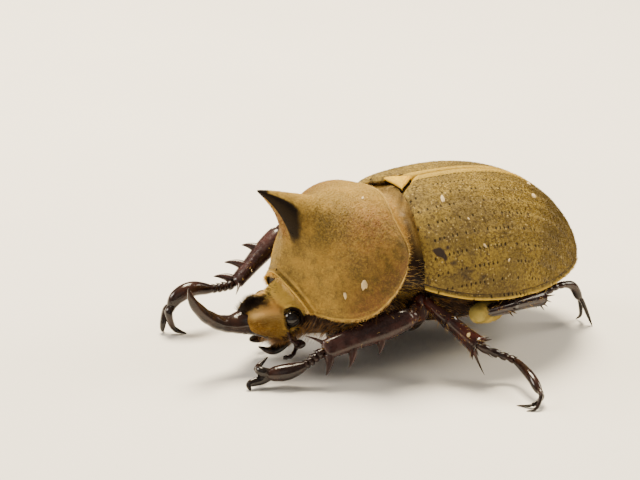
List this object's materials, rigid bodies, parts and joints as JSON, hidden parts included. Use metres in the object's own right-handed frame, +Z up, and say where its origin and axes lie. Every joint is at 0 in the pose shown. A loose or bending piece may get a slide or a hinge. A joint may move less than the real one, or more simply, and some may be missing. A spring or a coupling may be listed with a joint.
{
  "type": "rhinoceros beetle",
  "caption": "Life-size horned scarab beetle standing on its six clawed legs, with a curved head horn, a pointed pronotal horn and velvety olive-gold shell plates.",
  "frame": {"origin": "middle of the standing animal's box, on the floor", "axes": "+Z up, -Y towards the head, +X the animal's own left"},
  "size_m": [0.0644, 0.07, 0.0279],
  "materials": {
    "velvet": "olive-gold velvet of very short flat hair over dark shell",
    "velvet_pale": "pale golden velvet",
    "chitin": "glossy black-brown shell",
    "chitin_red": "glossy dark red-brown shell",
    "eye": "polished black",
    "belly": "brown shell with golden hair"
  },
  "bodies": {
    "root": {"abdomen": "belly", "antenna_left": "chitin_red", "antenna_right": "chitin_red", "claws_front_left": "chitin", "claws_front_right": "chitin", "claws_hind_left": "chitin", "claws_hind_right": "chitin", "claws_middle_left": "chitin", "claws_middle_right": "chitin", "coxa_front_left": "chitin", "coxa_front_right": "chitin", "coxa_hind_left": "chitin", "coxa_hind_right": "chitin", "coxa_middle_left": "chitin", "coxa_middle_right": "chitin", "elytron_left": "velvet", "elytron_right": "velvet", "eye_left": "eye", "eye_right": "eye", "femur_front_left": "chitin", "femur_front_right": "chitin", "femur_hind_left": "velvet", "femur_hind_right": "velvet", "femur_middle_left": "chitin_red", "femur_middle_right": "chitin_red", "head": "velvet_pale", "head_horn": "chitin", "mandible_left": "chitin", "mandible_right": "chitin", "palp_left": "chitin_red", "palp_right": "chitin_red", "pronotum": "velvet", "pronotum_horn": "chitin", "prosternum": "belly", "scutellum": "velvet_pale", "tarsus_front_left": "chitin", "tarsus_front_right": "chitin", "tarsus_hind_left": "chitin", "tarsus_hind_right": "chitin", "tarsus_middle_left": "chitin", "tarsus_middle_right": "chitin", "thorax": "belly", "tibia_front_left": "chitin_red", "tibia_front_right": "chitin_red", "tibia_hind_left": "chitin_red", "tibia_hind_right": "chitin_red", "tibia_middle_left": "chitin_red", "tibia_middle_right": "chitin_red"}
  },
  "joints": []
}
